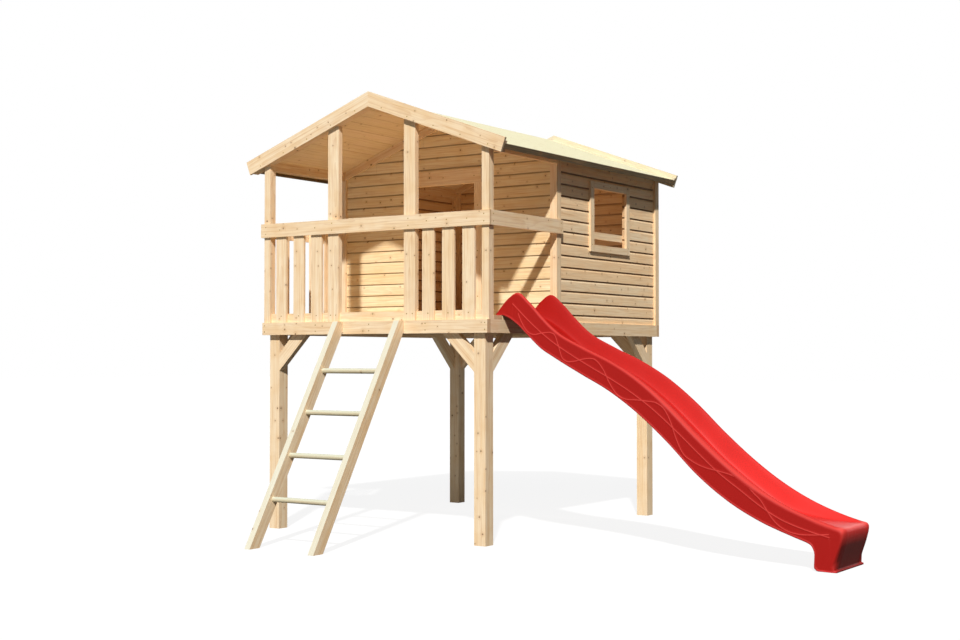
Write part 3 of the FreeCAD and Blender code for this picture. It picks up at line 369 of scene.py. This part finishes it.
# Walls: tongue and groove boards, 84 mm apart, with an open joint and a bevel at each row.
# They lie between the corner posts, nailed to battens behind them. The lowest row is a ripped one.
rows = {"cell": (whole, 0.084, whole), "shift": (0, -0.0315, 0), "tone": 0.5}
planed_spruce("front_wall_boards", level_across, joint=(0.009, 0.0035, 0.5, 0.001), pale="#FBEECB",
              warm="#E9C98F", **rows)
planed_spruce("rear_wall_boards", level_across, joint=(0.013, 0.0035, 0.6, 0.004), **rows)
# The right wall's boards get a brighter colour than the other walls: painted light on that side.
planed_spruce("right_wall_boards", level_along, joint=(0.013, 0.0035, 0.8, 0.005), pale="#FFE9C4",
              warm="#FFD19A", **rows)
planed_spruce("left_wall_boards", level_along, joint=(0.013, 0.0035, 0.8, 0.005), **rows)
planed_spruce("gable_wall_battens", upright_facing_front, cell=(whole, 0.3, 0.6), fold=two_ways)
planed_spruce("side_wall_battens", upright_square, cell=(whole, 0.6, whole), fold=two_ways)


# Trims round the doorway and the window, with a bar across the window. Neither has a leaf or glass.
planed_spruce("door_uprights", upright_facing_front, fold=two_ways)
planed_spruce("door_head", level_across)
planed_spruce("window_uprights", upright_square, cell=(whole, 0.5, whole))
planed_spruce("window_head_and_sill", level_along, cell=(whole, 0.4, whole))
planed_spruce("window_bar", level_along)
planed_spruce("window_battens", upright_square, cell=(whole, 0.5, whole))


# Roof frame: rafters on both slopes, bevelled plates over the posts, trims on the front gable.
down_the_slope = (-90, 0, 20)
along_the_slope = (0, -20, -90)
planed_spruce("front_rafters", down_the_slope, fold=two_ways)
planed_spruce("house_rafters", down_the_slope, cell=(whole, whole, 0.5), fold=two_ways)
planed_spruce("wall_plates", level_along, cell=(0.8, whole, whole), fold=two_ways)
planed_spruce("gable_rake_trims", down_the_slope, fold=two_ways)


# Roof skin: tongue and groove boards along the slopes, 96 mm wide. Their tops are bare, and painted paler
# as painted light.
skin = {"cell": (whole, 0.096, whole), "fold": two_ways, "warm": "#EBD9A8", "late": 0.08, "knots": 0.3,
        "pale_top": "#EFEDC6", "joint": (0.005, 0.0005, 0.2, 0.0005)}
planed_spruce("right_roof_boards", along_the_slope, **skin)
planed_spruce("left_roof_boards", along_the_slope, **skin)


# Bargeboards, fascias and verge battens: the edges of the roof, nailed over the board ends.
# The bargeboards' end grain is dark brown, and near black as painted shade on their ends.
planed_spruce("front_bargeboards", down_the_slope, fold=two_ways, knots=0.8, end_grain="#3E3626")
planed_spruce("rear_bargeboards", down_the_slope, fold=two_ways, knots=0.2, late=0.1, pale="#E9DFC6",
              warm="#E0D2AC", end_grain="#3E3626")
# The eave fascias are painted dark brown: painted shade on faces that the light only grazes.
planed_spruce("eave_fascias", along_the_slope, fold=two_ways, pale="#746850", warm="#584C34")
# The verge battens' upward faces take a pale_top colour: painted light on their tops.
planed_spruce("verge_battens", down_the_slope, cell=(whole, whole, 1.5), fold=two_ways, knots=0.2,
              late=0.1, pale="#EAE1CB", warm="#E2D4B2", pale_top="#E6DFC2")


# Ladder: two leaning stringers with four round rungs let into them, screwed to the front beam.
# The upward faces of stringers and rungs take a pale_top colour: painted light on their tops.
planed_spruce("ladder_stringers", (-59.33, 0, -90), cell=(whole, 0.3, whole), knots=0.3,
              pale_top="#C9D4CA")
planed_spruce("ladder_rungs", (0, 0, 0), cell=(whole, whole, 0.278), shift=(0, 0, -0.1),
              pale="#D8D2B8", warm="#CCC09A", late=0.08, knots=0.1, pale_top="#D2D6C2")


# Slide: one rotation-moulded shell of red polyethylene, hooked over the deck's edge and screwed
# down there. Its walls have rounded rims, a bead along the hem, and a straight and a waved rib
# on each side. It ends in a closed wall and stands on a box with a thin flange. Lengths are in mm.
mm = 0.001
slide_low, slide_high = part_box("slide")
deck_edge = slide_low.x + 45 * mm
slide_width = slide_high.y - slide_low.y

# Heights above the ground at distances from the deck's edge: rim, floor and lower edge, in mm
rim_line = [(-45, 1520), (0, 1574), (51, 1622), (111, 1652), (201, 1589), (300, 1491), (399, 1404),
            (600, 1296), (799, 1207), (1000, 1094), (1201, 941), (1399, 759), (1600, 592),
            (1801, 453), (2000, 349), (2194, 280), (2289, 255)]
floor_line = [(-45, 1512), (0, 1512), (99, 1488), (201, 1430), (300, 1358), (399, 1285), (600, 1190),
              (799, 1100), (1000, 968), (1201, 796), (1399, 613), (1600, 458), (1801, 330),
              (1900, 296), (2000, 275), (2150, 257), (2289, 247)]
hem_line = [(-45, 1505), (0, 1505), (51, 1487), (111, 1449), (201, 1370), (300, 1285), (399, 1227),
            (600, 1120), (799, 1017), (1000, 882), (1201, 713), (1399, 524), (1600, 375),
            (1801, 268), (2000, 193), (2092, 162.5)]
straight_rib = [(79, 1585), (218, 1458), (369, 1341), (519, 1250), (665, 1171), (809, 1097), (950, 1017),
                (1089, 924), (1293, 758), (1426, 641), (1556, 533), (1685, 444), (1811, 357),
                (1935, 288), (2058, 244), (2238, 199)]
waved_rib = [(120, 1530), (157, 1453), (203, 1394), (241, 1378), (294, 1383), (340, 1389), (378, 1387),
             (408, 1368), (434, 1302), (458, 1232), (482, 1209), (541, 1203), (615, 1218), (666, 1222),
             (697, 1217), (728, 1194), (767, 1143), (802, 1075), (852, 1006), (908, 973), (993, 966),
             (1062, 960), (1138, 947), (1192, 905), (1233, 829), (1266, 739), (1306, 657), (1373, 603),
             (1452, 570), (1557, 548), (1634, 528), (1711, 487), (1774, 428), (1818, 387),
             (1849, 342), (1880, 297), (1923, 253), (1972, 225), (2040, 208), (2130, 209), (2238, 219)]


def smooth_height(line, x):
    """Height of a smooth line through points: on each stretch a cubic that meets both ends, with
    slopes that are those of the chords between the neighbouring points."""
    points = np.array(line, float)
    px, pz = points[:, 0], points[:, 1]
    slope = np.gradient(pz, px)
    i = np.clip(np.searchsorted(px, x) - 1, 0, len(px) - 2)
    width = px[i + 1] - px[i]
    t = np.clip((x - px[i]) / width, 0, 1)
    return (pz[i] * (1 + 2 * t) * (1 - t) ** 2 + pz[i + 1] * t * t * (3 - 2 * t)
            + width * (slope[i] * t * (1 - t) ** 2 - slope[i + 1] * t * t * (1 - t)))


def along_corners(corners, radii, steps=8):
    """A line through corners, each rounded by a quadratic curve that starts and ends at its radius
    from the corner."""
    corners = np.array(corners, float)
    t = np.linspace(0, 1, steps)[:, None]
    pieces = [corners[:1]]
    for before, corner, after, radius in zip(corners, corners[1:], corners[2:], radii):
        start = corner + (before - corner) * radius / np.linalg.norm(before - corner)
        end = corner + (after - corner) * radius / np.linalg.norm(after - corner)
        pieces.append(start * (1 - t) ** 2 + corner * 2 * t * (1 - t) + end * t * t)
    return np.vstack(pieces + [corners[-1:]])


def spaced(line, shares):
    """Points of a line at shares of its whole length."""
    run = np.concatenate([[0], np.cumsum(np.linalg.norm(np.diff(line, axis=0), axis=1))])
    return np.column_stack([np.interp(shares * run[-1], run, line[:, k]) for k in range(2)])


# Down to the box the section stands upright. From there it turns like a fan, over the lip and down
# the end wall, while its lower edge follows the front of the box and the ground.
down = np.concatenate([np.linspace(-45, 111, 24), np.linspace(111, 2092, 250)[1:]])
rim = np.column_stack([down, smooth_height(rim_line, down)])
bed = np.column_stack([down, smooth_height(floor_line, down)])
hem = np.column_stack([down, smooth_height(hem_line, down)])
last = np.linspace(2092, 2276, 12)
over = np.column_stack([last, smooth_height(rim_line, last)])
end_wall = along_corners([over[-1], (2318, 252), (2316, 208), (2301, 146), (2282, 87), (2263, 14),
                          (2276, 12), (2276, 1.1)], [26, 16, 20, 20, 6, 2], steps=7)
over = np.vstack([over, end_wall[1:]])
box_front = along_corners([hem[-1], (2125, 148), (2144, 106), (2138, 1.1), (2262, 1.1)], [16, 18, 32])
run = np.concatenate([[0], np.cumsum(np.linalg.norm(np.diff(over, axis=0), axis=1))])
share = run / run[-1]
under = spaced(box_front, share)
ahead = np.gradient(over, axis=0)
outward = np.column_stack([-ahead[:, 1], ahead[:, 0]]) / np.linalg.norm(ahead, axis=1)[:, None]
depth = np.interp(share, [0, 0.4, 0.47, 0.6, 1.0], [rim[-1, 1] - bed[-1, 1], 6, 3, 0, 0])
sunk = over - outward * depth[:, None]
end_share = np.concatenate([np.zeros(len(rim)), np.clip((share[1:] - 0.47) / 0.2, 0, 1)])
nose = np.concatenate([np.zeros(len(rim)), np.exp(-((share[1:] - 0.43) / 0.04) ** 2)])
rim, bed, hem = np.vstack([rim, over[1:]]), np.vstack([bed, sunk[1:]]), np.vstack([hem, under[1:]])

# Across the section: the side wall, a quarter circle on to the rim, the crest, an S down to the
# floor, and the same mirrored. Every point is a share of the way from hem to rim or floor to rim.
# The quarter circle is the rounded edge of the rim, narrow at the top, wide half way down, and
# narrow again at the end.
crest_width, fall_width = 5.0, 44.0
radius = np.concatenate([
    np.interp(down, [850, 1250, 1700, 2050], [17, 36, 36, 22]),
    np.interp(share[1:], [0, 0.4, 0.9], [22, 28, 60]),
])[:, None]
side_share = np.concatenate([[0, 0.01, 0.025, 0.045], np.linspace(0.07, 1, 38)])
quarter = np.radians(np.linspace(0, 90, 9))[1:]
inner = np.linspace(0, 1, 13)
half = slide_width / mm / 2

rise = rim - hem
height = np.linalg.norm(rise, axis=1)
unit = rise / height[:, None]
soft = np.minimum(radius, 0.6 * height[:, None])
side_top = rim - unit * soft
side = hem[:, None] + (side_top - hem)[:, None] * side_share[None, :, None]
curl = rim[:, None] - unit[:, None] * (soft * (1 - np.sin(quarter)))[..., None]
level = (0.5 + 0.5 * np.cos(np.pi * inner))[None, :, None]
fall = bed[:, None] + (rim - bed)[:, None] * level
flat = bed[:, None] + np.zeros((1, 3, 1))
profile = np.concatenate([side, curl, fall, flat], axis=1)
crest_end = radius + crest_width
floor_start = crest_end + fall_width
across = np.concatenate([
    np.zeros((len(rim), len(side_share))),
    soft * (1 - np.cos(quarter)),
    crest_end + fall_width * inner,
    floor_start + (half - floor_start) * np.linspace(0, 1, 4)[1:],
], axis=1)

# Ribs and bead: a bell-shaped rise of the side wall, by the distance to the line that it follows.
# Under the bead the edge turns in, a quarter circle again. Both fade out where the side wall is
# low, and the bead at the deck too.
x, z = side[..., 0], side[..., 1]


def distance_to(line):
    """Signed distance on the side wall to a line, in mm: how far a point is above it, times the
    cosine of the line's slope. Before the first point of the line and past its last one it is far."""
    line_x = np.linspace(line[0][0], line[-1][0], 600)
    line_z = smooth_height(line, line_x)
    slope = np.gradient(line_z, line_x)
    away = (z - np.interp(x, line_x, line_z)) / np.sqrt(1 + np.interp(x, line_x, slope) ** 2)
    return np.where((x > line[0][0]) & (x < line[-1][0]), away, far_away)


far_away = 99.0
rib_height, rib_half_width = 2.0, 4.5
bead_height, bead_half_width, turn_radius = 4.0, 8.0, 8.0
from_straight, from_waved = distance_to(straight_rib), distance_to(waved_rib)
from_hem = side_share[None, :] * height[:, None]
tall = np.clip((height[:, None] - 30) / 40, 0, 1)
bead = (np.exp(-((from_hem - bead_half_width) / bead_half_width) ** 4)
        * np.clip((x + 10) / 60, 0, 1) * tall)
turned_in = (1 - np.sqrt(1 - np.clip(1 - from_hem / turn_radius, 0, 1) ** 2)) * tall
relief = (np.exp(-(from_straight / rib_half_width) ** 2)
          + np.exp(-(from_waved / rib_half_width) ** 2))
offset = across.copy()
offset[:, :len(side_share)] += (turn_radius * turned_in - rib_height * np.minimum(relief, 1)
                                - bead_height * bead)

near_half = np.concatenate([profile, offset[..., None]], axis=2)
far_half = near_half[:, -2::-1].copy()
far_half[..., 2] = 2 * half - far_half[..., 2]
grid = np.concatenate([near_half, far_half], axis=1)
points = np.column_stack([
    deck_edge + grid[..., 0].ravel() * mm,
    slide_low.y + grid[..., 2].ravel() * mm,
    grid[..., 1].ravel() * mm,
])
count, columns = grid.shape[:2]
corner = (np.arange(count - 1)[:, None] * columns + np.arange(columns - 1)[None, :]).ravel()
faces = np.column_stack([corner, corner + columns, corner + columns + 1, corner + 1])
shell_mesh = bpy.data.meshes.new("slide_shell")
shell_mesh.from_pydata(points.tolist(), [], faces.tolist())
shell_mesh.polygons.foreach_set("use_smooth", np.ones(len(faces), bool))

# What the material reads at each point: distances in mm, how far down the end wall it lies, how
# near to the middle of the nose, the painted highlight on the crest of the rim, and how near its turn
beyond = np.full((count, across.shape[1] - len(side_share)), far_away)
readings = {
    "across": across,
    "from_straight": np.hstack([from_straight, beyond]),
    "from_waved": np.hstack([from_waved, beyond]),
    "from_hem": np.hstack([from_hem, beyond]),
    "end_share": end_share[:, None] * np.clip(across / radius / 0.45, 0, 1),
    "nose": nose[:, None] * np.clip(across / radius, 0, 1),
    "crest": (np.clip((across - 0.5) / 7.5, 0, 1) * np.clip((20 + radius / 2 - across) / 20, 0, 1)
              * (1 - end_share[:, None])),
    "turn": np.clip(across / 12, 0, 1) * np.clip((90 - across) / 30, 0, 1),
}
for name, values in readings.items():
    both_halves = np.hstack([values, values[:, -2::-1]]).astype(np.float32)
    shell_mesh.attributes.new(name, "FLOAT", "POINT").data.foreach_set("value", both_halves.ravel())
shell = bpy.data.objects.new("slide_shell", shell_mesh)
bpy.context.scene.collection.objects.link(shell)
wall_thickness = 5.0
wall = shell.modifiers.new("wall", "SOLIDIFY")
wall.thickness = wall_thickness * mm
wall.offset = -1

# Polyethylene: moulded in one red, dull outside as the mould was, and polished by use on the sliding side.
# Painted light: the inside lightens down the slope, rims, nose, ribs, bead and flange carry painted
# highlights, and the end wall is painted dark as shade.
polyethylene = bpy.data.materials.new("red_polyethylene")
polyethylene.use_nodes = True
tree = polyethylene.node_tree
shader = tree.nodes["Principled BSDF"]
place = add(tree, "ShaderNodeTexCoord").outputs["Object"]
read = {name: add(tree, "ShaderNodeAttribute", attribute_name=name).outputs["Fac"] for name in readings}
inward = add(tree, "ShaderNodeMapRange", {0: read["across"], 1: 8.0, 2: 30.0})
# A painted highlight along the crest of the rim
painted_rim_highlight = add(tree, "ShaderNodeMath", {0: read["crest"], 1: 0.9}, operation="MULTIPLY")
# A painted highlight along the nose at the end
painted_nose_highlight = add(tree, "ShaderNodeMath", {0: read["nose"], 1: 0.9}, operation="MULTIPLY")
# The ribs are painted lighter: painted highlights along the raised lines
rib = []
for name in ("from_straight", "from_waved"):
    away = add(tree, "ShaderNodeMath", {0: read[name]}, operation="ABSOLUTE")
    rib.append(add(tree, "ShaderNodeMapRange", {0: away.outputs[0], 1: 1.8, 2: 3.8, 3: 1.0, 4: 0.0}))
# A painted highlight along the bead over the hem
hem_line = add(tree, "ShaderNodeMapRange", {0: read["from_hem"], 1: 9.0, 2: 13.0, 3: 0.5, 4: 0.0})
# The end wall is painted dark, more so down the wall: painted shade
painted_end_shade = add(tree, "ShaderNodeMath", {0: read["end_share"], 1: 0.9}, operation="MULTIPLY")
ends = add(tree, "ShaderNodeSeparateXYZ", {0: place})
# A lighter band on the lowest 15 mm: a painted highlight on the flange
flange = add(tree, "ShaderNodeMapRange", {0: ends.outputs[2], 1: 0.008, 2: 0.015, 3: 0.7, 4: 0.0})
# The inside lightens from the top towards the end: painted light, a painted sheen on the sliding side.
painted_inside_light = add(tree, "ShaderNodeMapRange", {0: ends.outputs[0], 1: deck_edge + 0.2, 2: deck_edge + 2.1})
painted_inside_light = add(tree, "ShaderNodeMath", {0: painted_inside_light.outputs[0], 1: inward.outputs[0]}, operation="MULTIPLY")
cloud = add(tree, "ShaderNodeTexNoise", {0: place, "Scale": 5.0, "Detail": 3.0})
cloud = add(tree, "ShaderNodeMapRange", {0: cloud.outputs[0], 3: 0.0, 4: 0.3})
colour = linear("#AC1B17")
coats = [(inward, "#AA1009"), (painted_inside_light, "#E83430"), (cloud, "#A01510"), (painted_rim_highlight, "#D8403A"),
         (painted_end_shade, "#3C0802"), (painted_nose_highlight, "#F2605A"), (flange, "#D03A3A"), (hem_line, "#D0403E"),
         (rib[0], "#D4433E"), (rib[1], "#D4433E")]
for amount, coat in coats:
    colour = add(tree, "ShaderNodeMix", {0: amount.outputs[0], 6: colour, 7: linear(coat)},
                 data_type="RGBA").outputs[2]
tree.links.new(colour, shader.inputs["Base Color"])

# Faint scuffs along the way down, and the mould's fine grain, 2 mm, which leaves out the rims
scuffed = add(tree, "ShaderNodeVectorMath", {0: place, 1: (3, 160, 3)}, operation="MULTIPLY")
scuffs = add(tree, "ShaderNodeTexNoise", {0: scuffed.outputs[0], "Scale": 1.0, "Detail": 4.0})
scuffs = add(tree, "ShaderNodeMapRange", {0: scuffs.outputs[0], 1: 0.3, 2: 0.7, 3: 0.0, 4: 0.1})
rough = add(tree, "ShaderNodeMapRange", {0: inward.outputs[0], 3: 0.45, 4: 0.34})
rough = add(tree, "ShaderNodeMath", {0: read["turn"], 1: 0.3, 2: rough.outputs[0]},
            operation="MULTIPLY_ADD")
rough = add(tree, "ShaderNodeMath", {0: rough.outputs[0], 1: scuffs.outputs[0]}, operation="ADD")
tree.links.new(rough.outputs[0], shader.inputs["Roughness"])
grain = add(tree, "ShaderNodeTexNoise", {0: place, "Scale": 500.0, "Detail": 2.0})
smooth = add(tree, "ShaderNodeMapRange", {0: read["turn"], 3: 0.1, 4: 0.0})
bump = add(tree, "ShaderNodeBump",
           {"Height": grain.outputs[0], "Strength": smooth.outputs[0], "Distance": 0.0002})
tree.links.new(bump.outputs[0], shader.inputs["Normal"])
shader.inputs["IOR"].default_value = 1.51
shader.inputs["Specular IOR Level"].default_value = 0.22
shell_mesh.materials.append(polyethylene)
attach(shell, "root")
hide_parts("slide")


# Screws, coach screws and washers: steel with a yellow zinc plating, dull from handling.
zinc = bpy.data.materials.new("yellow_zinc_plated_steel")
zinc.use_nodes = True
tree = zinc.node_tree
shader = tree.nodes["Principled BSDF"]
place = add(tree, "ShaderNodeTexCoord").outputs["Object"]
spangle = add(tree, "ShaderNodeTexNoise", {0: place, "Scale": 300.0, "Detail": 2.0})
shade = add(tree, "ShaderNodeMix", {0: spangle.outputs[0], 6: linear("#A8884E"), 7: linear("#C8A86C")},
            data_type="RGBA")
tree.links.new(shade.outputs[2], shader.inputs["Base Color"])
rough = add(tree, "ShaderNodeMapRange", {0: spangle.outputs[0], 3: 0.35, 4: 0.5})
tree.links.new(rough.outputs[0], shader.inputs["Roughness"])
shader.inputs["Metallic"].default_value = 1.0
for name in nodes:
    if name.endswith(("screws", "washers")):
        nodes[name].data.materials.clear()
        nodes[name].data.materials.append(zinc)


bpy.context.view_layer.update()
